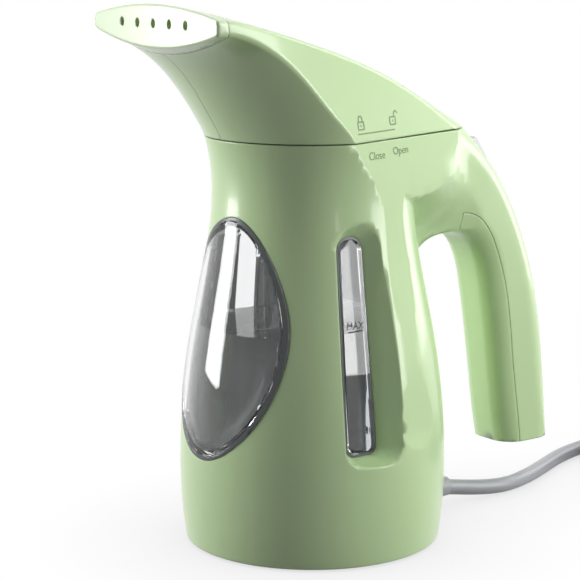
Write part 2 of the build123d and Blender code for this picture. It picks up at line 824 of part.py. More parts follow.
with BuildPart() as switch_module:
    with BuildSketch(rocker_plane.offset(-EAR_OUT)):
        with Locations((0, -13.75)):
            Rectangle(19, 12.5)
    extrude(amount=2 * EAR_OUT)
    for start in (-EAR_OUT, EAR_IN):
        with BuildSketch(rocker_plane.offset(start)):
            with Locations((0, -5.6)):
                Rectangle(EAR_LONG, 6)
            with Locations((0, ROCKER_PIVOT)):
                Circle(PIN_R, mode=Mode.SUBTRACT)
        extrude(amount=EAR_OUT - EAR_IN)
switch_module.part.label = "switch_module"
export_step(switch_module.part, "parts/switch_module.step")

# Cord with its gland, clamp, coil and plug
with BuildPart() as cord_gland:
    with BuildSketch(Plane(CORD_ROUTE[0], x_dir=cord_way, z_dir=(0, -1, 0))):
        Polygon(*GLAND, align=None)
    revolve(axis=Axis(CORD_ROUTE[0], cord_way))
cord_gland.part.label = "cord_gland"
export_step(cord_gland.part, "parts/cord_gland.step")

with BuildPart() as cord_clamp:
    with BuildSketch(Plane.XY.offset(BASE_T)):
        with Locations((CLAMP_X, 0)):
            RectangleRounded(5, 20, 1)
    extrude(amount=13)
    with BuildSketch(cord_line):
        Circle(CORD_R)
    extrude(amount=10, mode=Mode.SUBTRACT)
    with BuildSketch(cord_line):
        Circle(2.2)
    extrude(amount=-10, mode=Mode.SUBTRACT)
    with BuildSketch(Plane.XY.offset(BASE_T)):
        with Locations((CLAMP_X, CLAMP_SCREW_Y), (CLAMP_X, -CLAMP_SCREW_Y)):
            Circle(SCREW_R)
    extrude(amount=13, mode=Mode.SUBTRACT)
cord_clamp.part.label = "cord_clamp"
export_step(cord_clamp.part, "parts/cord_clamp.step")

with BuildPart() as clamp_screws:
    with BuildSketch(Plane.XY.offset(BASE_T - 1.6)):
        with Locations((CLAMP_X, CLAMP_SCREW_Y), (CLAMP_X, -CLAMP_SCREW_Y)):
            Circle(SCREW_R)
    extrude(amount=14.6)
    with BuildSketch(Plane.XY.offset(BASE_T + 13)):
        with Locations((CLAMP_X, CLAMP_SCREW_Y), (CLAMP_X, -CLAMP_SCREW_Y)):
            Circle(2.4)
    extrude(amount=1.6)
clamp_screws.part.label = "clamp_screws"
export_step(clamp_screws.part, "parts/clamp_screws.step")

cord_tube = tube_form(CORD_ROUTE, CORD_R)
with BuildPart() as power_cord:
    add(cord_tube)
power_cord.part.label = "power_cord"
export_step(power_cord.part, "parts/power_cord.step")

coil_half = COIL_TURNS * CORD_D / 2
coil_height = COIL_LAYERS * CORD_D
with BuildPart() as cord_coil:
    with BuildSketch(Plane.XY.offset(COIL_LIFT)):
        with Locations(COIL_CENTRE):
            Circle(COIL_MID_R + coil_half)
            Circle(COIL_MID_R - coil_half, mode=Mode.SUBTRACT)
    extrude(amount=coil_height)
    fillet(cord_coil.edges().filter_by(GeomType.CIRCLE), CORD_R - 0.1)
cord_coil.part.label = "cord_coil"
export_step(cord_coil.part, "parts/cord_coil.step")

with BuildPart() as cord_tie:
    with BuildSketch(Plane.YZ.offset(COIL_CENTRE[0] - TIE_W / 2)):
        with Locations((COIL_CENTRE[1] - COIL_MID_R, COIL_LIFT + coil_height / 2)):
            RectangleRounded(2 * coil_half + TIE_SLACK + 2 * COIL_LIFT, coil_height + 2 * COIL_LIFT, 1.5)
            Rectangle(2 * coil_half + TIE_SLACK, coil_height, mode=Mode.SUBTRACT)
    extrude(amount=TIE_W)
cord_tie.part.label = "cord_tie"
export_step(cord_tie.part, "parts/cord_tie.step")

with BuildPart() as plug_body:
    with BuildSketch(Plane.XZ.offset(PLUG_TAIL)):
        with Locations((PLUG_X, PLUG_Z)):
            Circle(3.8)
    with BuildSketch(Plane.XZ.offset(PLUG_BACK)):
        with Locations((PLUG_X, PLUG_Z)):
            Circle(5.6)
    loft()
    with BuildSketch(Plane.XZ.offset(PLUG_BACK)):
        with Locations((PLUG_X, PLUG_Z)):
            RectangleRounded(24, 15, 5)
    extrude(amount=PLUG_FACE - PLUG_BACK)
    fillet(plug_body.faces().sort_by(Axis.Y)[0].edges(), 1.5)
plug_body.part.label = "plug_body"
export_step(plug_body.part, "parts/plug_body.step")

with BuildPart() as plug_pins:
    with BuildSketch(Plane.XZ.offset(PLUG_FACE)):
        with Locations((PLUG_X - 6.35, PLUG_Z), (PLUG_X + 6.35, PLUG_Z)):
            Rectangle(1.5, 6.3)
    extrude(amount=17.5)
plug_pins.part.label = "plug_pins"
export_step(plug_pins.part, "parts/plug_pins.step")

# Steam head
head_out = head_form(0)
head_in = head_form(HEAD_WALL)
spigot_out = head_form(HEAD_WALL + 0.2)
duct_out = head_form(DUCT_INSET)
duct_in = head_form(DUCT_INSET + DUCT_WALL)
with BuildPart() as head_solid:
    add(head_out)
    long_edges = head_solid.edges().filter_by(lambda e: e.length > 60 and abs(e.center().Y) > 5)
    fillet(long_edges.filter_by(lambda e: e.center().Z > SEAM_Z + 1), HEAD_EDGE)
    split(bisect_by=Plane.XY.offset(HEAD_Z), keep=Keep.TOP)

with BuildPart() as head_skin:
    add(head_solid.part)
    add(head_in, mode=Mode.SUBTRACT)
    split(bisect_by=Plane.YZ.offset(HEAD_FRONT), keep=Keep.TOP)

with BuildPart() as head_left:
    add(head_skin.part)
    split(bisect_by=Plane.XZ.offset(HALF_GAP), keep=Keep.TOP)
head_left.part.label = "head_left"
export_step(head_left.part, "parts/head_left.step")

with BuildPart() as head_right:
    add(head_skin.part)
    split(bisect_by=Plane.XZ.offset(-HALF_GAP), keep=Keep.BOTTOM)
head_right.part.label = "head_right"
export_step(head_right.part, "parts/head_right.step")

with BuildPart() as nozzle_spigot:
    add(spigot_out)
    add(duct_out, mode=Mode.SUBTRACT)
    split(bisect_by=Plane.YZ.offset(NOZZLE_BACK - 1), keep=Keep.TOP)
    split(bisect_by=Plane.YZ.offset(SPIGOT_X), keep=Keep.BOTTOM)

with BuildPart() as nozzle_plate:
    add(head_solid.part)
    split(bisect_by=Plane.YZ.offset(NOZZLE_BACK), keep=Keep.BOTTOM)
    face_rim = nozzle_plate.faces().sort_by(Axis.X)[0].edges()
    fillet(face_rim, NOZZLE_EDGE)
    add(nozzle_spigot.part)
    with BuildSketch(Plane.YZ.offset(FAN_X - 5)):
        with GridLocations(HOLE_PITCH, 1, HOLE_COUNT, 1):
            with Locations((0, HOLE_Z)):
                Ellipse(HOLE_W / 2, HOLE_H / 2)
    extrude(amount=12, mode=Mode.SUBTRACT)
nozzle_plate.part.label = "nozzle_plate"
export_step(nozzle_plate.part, "parts/nozzle_plate.step")

with BuildPart() as steam_duct:
    add(duct_out)
    add(duct_in, mode=Mode.SUBTRACT)
    split(bisect_by=Plane.YZ.offset(SPIGOT_X + 0.3), keep=Keep.TOP)
    split(bisect_by=Plane.XY.offset(BASE_PLATE_Z[1]), keep=Keep.TOP)
steam_duct.part.label = "steam_duct"
export_step(steam_duct.part, "parts/steam_duct.step")

with BuildPart() as head_base:
    add(spigot_out)
    split(bisect_by=Plane.XY.offset(BASE_PLATE_Z[0]), keep=Keep.TOP)
    split(bisect_by=Plane.XY.offset(BASE_PLATE_Z[1]), keep=Keep.BOTTOM)
    with BuildSketch(Plane.XY.offset(SPIGOT_LOW)):
        Circle(SPIGOT_R)
    extrude(amount=BASE_PLATE_Z[0] - SPIGOT_LOW)
    for turn in range(LUG_COUNT):
        with BuildSketch(Plane.XY.offset(LUG_Z[0]).rotated((0, 0, turn * 360 / LUG_COUNT))):
            with BuildLine():
                CenterArc((0, 0), LUG_R, -LUG_SPAN / 2, LUG_SPAN)
                CenterArc((0, 0), SPIGOT_R - 1, -LUG_SPAN / 2, LUG_SPAN)
                PolarLine(polar_point(SPIGOT_R - 1, LUG_SPAN / 2), LUG_R - SPIGOT_R + 1, LUG_SPAN / 2)
                PolarLine(polar_point(SPIGOT_R - 1, -LUG_SPAN / 2), LUG_R - SPIGOT_R + 1, -LUG_SPAN / 2)
            make_face()
        extrude(amount=LUG_Z[1] - LUG_Z[0])
    with BuildSketch(Plane.XY.offset(SPIGOT_LOW)):
        Circle(SPIGOT_R - SPIGOT_WALL)
    extrude(amount=40, mode=Mode.SUBTRACT)
head_base.part.label = "head_base"
export_step(head_base.part, "parts/head_base.step")

with BuildPart() as head_gasket:
    with BuildSketch(Plane.XY.offset(GASKET_Z)):
        Circle(36)
        Circle(SPIGOT_R, mode=Mode.SUBTRACT)
    extrude(amount=BASE_PLATE_Z[0] - GASKET_Z)
head_gasket.part.label = "head_gasket"
export_step(head_gasket.part, "parts/head_gasket.step")

with BuildPart() as splash_baffle:
    with BuildSketch(Plane.XY.offset(BAFFLE_Z)):
        Circle(SPIGOT_R - SPIGOT_WALL)
        with PolarLocations(16, 6):
            Circle(3.5, mode=Mode.SUBTRACT)
    extrude(amount=2)
splash_baffle.part.label = "splash_baffle"
export_step(splash_baffle.part, "parts/splash_baffle.step")
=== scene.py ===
"""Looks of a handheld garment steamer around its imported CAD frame, in metres.

The CAD nodes give every rigid form. This script merges and smooths copies of them, dresses them in moulded
plastic, rubber, metal and clear-tank finishes, fills the tank with water, winds the mains cord and sets up
the studio.
"""
from __future__ import annotations

import logging
import math
from dataclasses import dataclass, field
from enum import Enum
from typing import Iterable, Sequence

import bmesh
import bpy
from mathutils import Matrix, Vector
from mathutils.bvhtree import BVHTree

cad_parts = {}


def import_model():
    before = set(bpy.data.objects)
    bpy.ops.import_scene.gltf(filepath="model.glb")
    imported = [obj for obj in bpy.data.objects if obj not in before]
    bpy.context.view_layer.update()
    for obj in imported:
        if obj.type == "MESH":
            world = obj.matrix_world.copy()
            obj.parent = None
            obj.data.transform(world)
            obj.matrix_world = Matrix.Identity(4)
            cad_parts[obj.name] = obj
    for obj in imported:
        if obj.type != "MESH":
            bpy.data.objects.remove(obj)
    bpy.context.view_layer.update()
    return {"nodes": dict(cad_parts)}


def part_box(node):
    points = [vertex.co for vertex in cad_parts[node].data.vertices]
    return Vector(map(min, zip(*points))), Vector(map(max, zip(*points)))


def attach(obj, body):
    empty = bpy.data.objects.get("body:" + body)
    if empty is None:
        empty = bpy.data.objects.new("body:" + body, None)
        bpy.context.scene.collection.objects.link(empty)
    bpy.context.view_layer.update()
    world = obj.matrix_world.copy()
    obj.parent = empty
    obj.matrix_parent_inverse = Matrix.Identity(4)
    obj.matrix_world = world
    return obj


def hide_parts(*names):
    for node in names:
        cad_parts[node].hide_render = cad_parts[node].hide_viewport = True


LOG = logging.getLogger("steamer")
MM = 0.001
IMAGE_PX = 580

Colour = tuple[float, float, float]
Point = tuple[float, float, float]
FlatPoint = tuple[float, float]
Word = tuple[str, float, float]


class Body(Enum):
    """CAD bodies that pieces ride on."""

    BASE = "base"
    HEAD = "head"
    ROCKER = "rocker"


class Grain(Enum):
    """Surface grain of a finish: cells per metre and bump strength."""

    POLISHED = (420.0, 0.012)
    SATIN = (1500.0, 0.05)
    SPARK = (2600.0, 0.16)
    BRUSHED = (900.0, 0.08)


def linear(red: int, green: int, blue: int) -> Colour:
    """Turns a display colour of 0 to 255 into linear light.

    Args:
        red, green, blue: display values.

    Returns:
        The linear colour.
    """

    def channel(value: int) -> float:
        """Turns one display value into linear light by the sRGB curve."""
        share = value / 255
        return share / 12.92 if share <= 0.04045 else ((share + 0.055) / 1.055) ** 2.4

    return channel(red), channel(green), channel(blue)


def maths(tree: bpy.types.NodeTree, operation: str) -> bpy.types.Node:
    """Adds a math node to a shader tree.

    Args:
        tree: shader tree.
        operation: what the node works out.

    Returns:
        The new node.
    """
    node = tree.nodes.new("ShaderNodeMath")
    node.operation = operation
    return node


class SurfaceGroup:
    """Shader node group shared by all finishes: slow drift of colour and roughness, and fine grain."""

    NAME = "moulded_surface"
    INPUTS = (("Colour", "NodeSocketColor"), ("Drift", "NodeSocketFloat"), ("Scale", "NodeSocketFloat"),
              ("Roughness", "NodeSocketFloat"), ("Stretch", "NodeSocketVector"))
    OUTPUTS = (("Colour", "NodeSocketColor"), ("Roughness", "NodeSocketFloat"),
               ("Height", "NodeSocketFloat"))
    SLOW_SCALE = 14.0
    SLOW_DETAIL = 3.0
    FINE_DETAIL = 2.0
    NOISE_MIDDLE = 0.5
    ROUGHNESS_SPREAD = 0.06

    @classmethod
    def tree(cls) -> bpy.types.NodeTree:
        """Builds the group once.

        Returns:
            The shader node group.
        """
        known = bpy.data.node_groups.get(cls.NAME)
        if known:
            return known
        tree = bpy.data.node_groups.new(cls.NAME, "ShaderNodeTree")
        for name, kind in cls.INPUTS:
            tree.interface.new_socket(name, in_out="INPUT", socket_type=kind)
        for name, kind in cls.OUTPUTS:
            tree.interface.new_socket(name, in_out="OUTPUT", socket_type=kind)
        nodes, links = tree.nodes, tree.links
        given = nodes.new("NodeGroupInput")
        made = nodes.new("NodeGroupOutput")
        place = nodes.new("ShaderNodeTexCoord")
        stretch = nodes.new("ShaderNodeVectorMath")
        stretch.operation = "MULTIPLY"
        slow = nodes.new("ShaderNodeTexNoise")
        slow.inputs["Scale"].default_value = cls.SLOW_SCALE
        slow.inputs["Detail"].default_value = cls.SLOW_DETAIL
        fine = nodes.new("ShaderNodeTexNoise")
        fine.inputs["Detail"].default_value = cls.FINE_DETAIL
        centred = maths(tree, "SUBTRACT")
        centred.inputs[1].default_value = cls.NOISE_MIDDLE
        drift = maths(tree, "MULTIPLY")
        level = maths(tree, "ADD")
        level.inputs[1].default_value = 1.0
        tint = nodes.new("ShaderNodeVectorMath")
        tint.operation = "SCALE"
        rough = maths(tree, "MULTIPLY_ADD")
        rough.inputs[1].default_value = cls.ROUGHNESS_SPREAD
        links.new(place.outputs["Object"], slow.inputs["Vector"])
        links.new(place.outputs["Object"], stretch.inputs[0])
        links.new(given.outputs["Stretch"], stretch.inputs[1])
        links.new(stretch.outputs["Vector"], fine.inputs["Vector"])
        links.new(given.outputs["Scale"], fine.inputs["Scale"])
        links.new(slow.outputs["Fac"], centred.inputs[0])
        links.new(centred.outputs["Value"], drift.inputs[0])
        links.new(given.outputs["Drift"], drift.inputs[1])
        links.new(drift.outputs["Value"], level.inputs[0])
        links.new(given.outputs["Colour"], tint.inputs[0])
        links.new(level.outputs["Value"], tint.inputs["Scale"])
        links.new(centred.outputs["Value"], rough.inputs[0])
        links.new(given.outputs["Roughness"], rough.inputs[2])
        links.new(tint.outputs["Vector"], made.inputs["Colour"])
        links.new(rough.outputs["Value"], made.inputs["Roughness"])
        links.new(fine.outputs["Fac"], made.inputs["Height"])
        return tree

    @classmethod
    def place(cls, tree: bpy.types.NodeTree, colour: Colour, drift: float, scale: float, roughness: float,
              stretch: Point) -> bpy.types.Node:
        """Places the group in a material.

        Args:
            tree: node tree of the material.
            colour: middle colour.
            drift: how far the colour drifts, as a share of itself.
            scale: grain cells per metre.
            roughness: middle roughness.
            stretch: how much closer the grain lies along each axis.

        Returns:
            The group's node.
        """
        group = tree.nodes.new("ShaderNodeGroup")
        group.node_tree = cls.tree()
        group.inputs["Colour"].default_value = (*colour, 1.0)
        group.inputs["Drift"].default_value = drift
        group.inputs["Scale"].default_value = scale
        group.inputs["Roughness"].default_value = roughness
        group.inputs["Stretch"].default_value = stretch
        return group


@dataclass(frozen=True)
class Finish:
    """An opaque finish: colour, gloss and grain, with edges that catch light as if rounded."""

    COAT_ROUGHNESS = 0.1
    BUMP_DISTANCE = 0.0004
    EDGE_SAMPLES = 6

    name: str
    colour: Colour
    roughness: float
    grain: Grain = Grain.SATIN
    drift: float = 0.06
    metallic: float = 0.0
    coat: float = 0.0
    sheen: float = 0.0
    stretch: Point = (1.0, 1.0, 1.0)
    edge: float = 0.0

    def material(self) -> bpy.types.Material:
        """Builds the material once.

        Returns:
            The material of this finish.
        """
        known = bpy.data.materials.get(self.name)
        if known:
            return known
        made = bpy.data.materials.new(self.name)
        made.use_nodes = True
        nodes, links = made.node_tree.nodes, made.node_tree.links
        shader = nodes["Principled BSDF"]
        shader.inputs["Metallic"].default_value = self.metallic
        shader.inputs["Coat Weight"].default_value = self.coat
        shader.inputs["Coat Roughness"].default_value = self.COAT_ROUGHNESS
        shader.inputs["Sheen Weight"].default_value = self.sheen
        scale, strength = self.grain.value
        group = SurfaceGroup.place(made.node_tree, self.colour, self.drift, scale, self.roughness,
                                   self.stretch)
        bump = nodes.new("ShaderNodeBump")
        bump.inputs["Strength"].default_value = strength
        bump.inputs["Distance"].default_value = self.BUMP_DISTANCE
        links.new(group.outputs["Colour"], shader.inputs["Base Color"])
        links.new(group.outputs["Roughness"], shader.inputs["Roughness"])
        links.new(group.outputs["Height"], bump.inputs["Height"])
        links.new(bump.outputs["Normal"], shader.inputs["Normal"])
        if self.edge:
            rounding = nodes.new("ShaderNodeBevel")
            rounding.samples = self.EDGE_SAMPLES
            rounding.inputs["Radius"].default_value = self.edge
            links.new(rounding.outputs["Normal"], bump.inputs["Normal"])
        return made


@dataclass(frozen=True)
class ClearFinish:
    """A clear finish: tint, index and a slight drift. Shadow and diffuse rays pass straight through it."""

    DRIFT = 0.01
    SCALE = 60.0
    STRETCH = (1.0, 1.0, 0.3)

    name: str
    tint: Colour
    index: float
    roughness: float = 0.02

    def material(self) -> bpy.types.Material:
        """Builds the material once.

        Returns:
            The material of this finish.
        """
        known = bpy.data.materials.get(self.name)
        if known:
            return known
        made = bpy.data.materials.new(self.name)
        made.use_nodes = True
        nodes, links = made.node_tree.nodes, made.node_tree.links
        shader = nodes["Principled BSDF"]
        shader.inputs["Transmission Weight"].default_value = 1.0
        shader.inputs["IOR"].default_value = self.index
        group = SurfaceGroup.place(made.node_tree, self.tint, self.DRIFT, self.SCALE, self.roughness,
                                   self.STRETCH)
        links.new(group.outputs["Colour"], shader.inputs["Base Color"])
        links.new(group.outputs["Roughness"], shader.inputs["Roughness"])
        through = nodes.new("ShaderNodeBsdfTransparent")
        through.inputs["Color"].default_value = (*self.tint, 1.0)
        rays = nodes.new("ShaderNodeLightPath")
        passing = maths(made.node_tree, "MAXIMUM")
        either = nodes.new("ShaderNodeMixShader")
        links.new(rays.outputs["Is Shadow Ray"], passing.inputs[0])
        links.new(rays.outputs["Is Diffuse Ray"], passing.inputs[1])
        links.new(passing.outputs["Value"], either.inputs["Fac"])
        links.new(shader.outputs["BSDF"], either.inputs[1])
        links.new(through.outputs["BSDF"], either.inputs[2])
        links.new(either.outputs["Shader"], nodes["Material Output"].inputs["Surface"])
        return made


class Finishes:
    """Every finish of the steamer."""

    HOUSING = Finish("pale_green_gloss", linear(187, 215, 159), 0.3, Grain.POLISHED, 0.02,
                     coat=0.4, edge=0.0011)
    NOZZLE = Finish("pale_green_nozzle", linear(206, 226, 185), 0.22, Grain.POLISHED, 0.02,
                    coat=0.3, edge=0.0008)
    # Near-white painted light for the housing's inside faces: it brightens the inside seen through the
    # window.
    PAINTED_INSIDE_LIGHT = Finish("housing_inside_painted_light", linear(236, 238, 239), 0.4, Grain.SATIN, 0.03)
    MATT_GREEN = Finish("matt_green_moulding", linear(176, 198, 154), 0.5, Grain.SPARK, 0.04)
    SEAL = Finish("dark_seal", linear(74, 80, 80), 0.26, Grain.SATIN, 0.08)
    SILICONE = Finish("pale_silicone", linear(222, 222, 218), 0.45, Grain.SATIN, 0.05)
    DUCT = Finish("heat_proof_moulding", linear(214, 217, 210), 0.45, Grain.SPARK, 0.05)
    STEEL = Finish("brushed_steel", linear(200, 200, 200), 0.3, Grain.BRUSHED, 0.1, metallic=1.0,
                   stretch=(1.0, 1.0, 12.0))
    SCREW = Finish("plated_screw", linear(190, 190, 188), 0.28, Grain.BRUSHED, 0.15, metallic=1.0)
    CASTING = Finish("cast_aluminium", linear(176, 177, 180), 0.48, Grain.SPARK, 0.16, metallic=1.0)
    PHENOLIC = Finish("dark_phenolic", linear(92, 84, 76), 0.42, Grain.SATIN, 0.12)
    NYLON = Finish("off_white_nylon", linear(232, 230, 222), 0.5, Grain.SATIN, 0.05)
    SLEEVE = Finish("woven_sleeve", linear(220, 218, 212), 0.7, Grain.SPARK, 0.12, stretch=(1.0, 1.0, 0.25))
    FOOT = Finish("foot_rubber", linear(60, 60, 60), 0.75, Grain.SPARK, 0.1)
    BLACK = Finish("black_nylon", linear(36, 36, 38), 0.45, Grain.SATIN, 0.1)
    ROCKER = Finish("light_grey_rocker", linear(206, 206, 209), 0.28, Grain.SATIN, 0.03, coat=0.2)
    CORD = Finish("grey_cord_jacket", linear(162, 163, 168), 0.36, Grain.SATIN, 0.05)
    TIE = Finish("woven_tie", linear(44, 44, 46), 0.85, Grain.SPARK, 0.2, sheen=0.3,
                 stretch=(1.0, 0.3, 1.0))
    BRASS = Finish("bright_blade", linear(226, 208, 160), 0.2, Grain.BRUSHED, 0.08, metallic=1.0)
    # Darker green painted shade: the flat signs and words stand in for the shading of embossed marks.
    EMBOSS_SHADE = Finish("painted_emboss_shade", linear(120, 142, 100), 0.3, Grain.POLISHED, 0.02)
    PRINT = Finish("dark_print", linear(30, 33, 35), 0.5, Grain.SATIN, 0.05)
    TANK = ClearFinish("clear_tank_plastic", (0.97, 0.978, 0.98), 1.47)
    # The water's grey tint is painted shade: it darkens the view through the tank below the water level.
    WATER = ClearFinish("tank_water", (0.69, 0.725, 0.74), 1.33, 0.0)


class MeshTools:
    """Small mesh helpers shared by the sub-assemblies."""

    MERGE_DISTANCE = 2e-6

    @staticmethod
    def add(name: str, mesh: bpy.types.Mesh, body: Body, slot: str,
            finish: Finish | ClearFinish) -> bpy.types.Object:
        """Puts a finished mesh into the scene on a CAD body.

        Args:
            name: piece name.
            mesh: mesh in the steamer's frame.
            body: body that carries it.
            slot: not used.
            finish: finish to wear.

        Returns:
            The new piece.
        """
        piece = bpy.data.objects.new(name, mesh)
        bpy.context.scene.collection.objects.link(piece)
        mesh.materials.clear()
        mesh.materials.append(finish.material())
        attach(piece, body.value)
        LOG.info("piece %s on %s", name, body.value)
        return piece

    @staticmethod
    def smooth(mesh: bpy.types.Mesh, angle: float) -> None:
        """Shades a mesh smooth.

        Args:
            mesh: mesh to shade.
            angle: edges sharper than this many degrees stay sharp.
        """
        for face in mesh.polygons:
            face.use_smooth = True
        mesh.set_sharp_from_angle(angle=math.radians(angle))

    @classmethod
    def merged(cls, mesh: bpy.types.Mesh) -> bmesh.types.BMesh:
        """Copies a mesh of loose triangles with its doubles merged.

        Args:
            mesh: mesh of a CAD node.

        Returns:
            The working copy, which its user frees.
        """
        work = bmesh.new()
        work.from_mesh(mesh)
        bmesh.ops.remove_doubles(work, verts=work.verts, dist=cls.MERGE_DISTANCE)
        return work

    @staticmethod
    def evaluated(holder: bpy.types.Object) -> bpy.types.Mesh:
        """Turns a linked object into a plain mesh and removes it.

        Args:
            holder: object whose curve or modifiers make the mesh.

        Returns:
            The mesh that it shows.
        """
        graph = bpy.context.evaluated_depsgraph_get()
        mesh = bpy.data.meshes.new_from_object(holder.evaluated_get(graph))
        bpy.data.objects.remove(holder)
        return mesh

    @classmethod
    def skin(cls, node: bpy.types.Object, name: str, angle: float) -> bpy.types.Mesh:
        """Copies a CAD node's mesh, merged and smoothed.

        Args:
            node: CAD node.
            name: name of the copy.
            angle: edges sharper than this many degrees stay sharp.

        Returns:
            The merged copy.
        """
        mesh = node.data.copy()
        mesh.name = name
        work = cls.merged(mesh)
        work.to_mesh(mesh)
        work.free()
        if "sharp_face" in mesh.attributes:
            mesh.attributes.remove(mesh.attributes["sharp_face"])
        cls.smooth(mesh, angle)
        return mesh


@dataclass
class Dressing:
    """A CAD node and the finish its smoothed copy wears."""

    node: str
    finish: Finish | ClearFinish
    slot: str
    angle: float = 32.0


@dataclass
class SubAssembly:
    """A group of CAD nodes on one body."""

    nodes: dict[str, bpy.types.Object]
    body: Body = Body.BASE
    dressings: list[Dressing] = field(default_factory=list)

    def build(self) -> None:
        """Dresses every node of the group."""
        for dressing in self.dressings:
            self.dress(dressing)

    def dress(self, dressing: Dressing) -> bpy.types.Object:
        """Replaces one CAD node by its smoothed and finished copy.

        Args:
            dressing: node, finish, slot and smoothing angle.

        Returns:
            The new piece.
        """
        mesh = MeshTools.skin(self.nodes[dressing.node], dressing.node + "_skin", dressing.angle)
        piece = MeshTools.add(dressing.node + "_skin", mesh, self.body, dressing.slot, dressing.finish)
        if isinstance(dressing.finish, Finish):
            even = piece.modifiers.new("even_shading", "WEIGHTED_NORMAL")
            even.mode = "FACE_AREA_WITH_ANGLE"
            even.keep_sharp = True
        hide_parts(dressing.node)
        return piece


@dataclass
class Housing(SubAssembly):
    """Body shell and handle cover, whose faces inside behind the tank wear a near-white colour of painted
    light.
    """

    inner_reach: float = 0.056
    inner_top: float = 0.172
    inner_back: float = 0.046
    inner_facing: float = 0.5
    dressings: list[Dressing] = field(default_factory=lambda: [
        Dressing("body_shell", Finishes.HOUSING, "housing", angle=24.0),
        Dressing("handle_cover", Finishes.HOUSING, "housing", angle=24.0),
    ])

    def dress(self, dressing: Dressing) -> bpy.types.Object:
        """Dresses a moulding and gives its faces that look inwards a near-white colour of painted light,
        which brightens the inside seen through the window.

        Args:
            dressing: node, finish, slot and smoothing angle.

        Returns:
            The new piece.
        """
        piece = super().dress(dressing)
        mesh = piece.data
        # Painted light: faces inside behind the tank that look inwards get the near-white colour.
        mesh.materials.append(Finishes.PAINTED_INSIDE_LIGHT.material())
        for face in mesh.polygons:
            centre = face.center
            radius = math.hypot(centre.x, centre.y)
            inwards = -(face.normal.x * centre.x + face.normal.y * centre.y)
            inside = radius < self.inner_reach and centre.z < self.inner_top and centre.x < self.inner_back
            if inside and inwards > self.inner_facing * radius:
                face.material_index = 1
        return piece


@dataclass
class SteamHead(SubAssembly):
    """Head halves, nozzle and the pieces inside them."""

    body: Body = Body.HEAD
    dressings: list[Dressing] = field(default_factory=lambda: [
        Dressing("head_left", Finishes.HOUSING, "housing", angle=24.0),
        Dressing("head_right", Finishes.HOUSING, "housing", angle=24.0),
        Dressing("nozzle_plate", Finishes.NOZZLE, "nozzle", angle=28.0),
        Dressing("steam_duct", Finishes.DUCT, "duct_plastic"),
        Dressing("head_base", Finishes.DUCT, "duct_plastic"),
        Dressing("head_gasket", Finishes.SILICONE, "silicone"),
        Dressing("splash_baffle", Finishes.DUCT, "duct_plastic"),
    ])


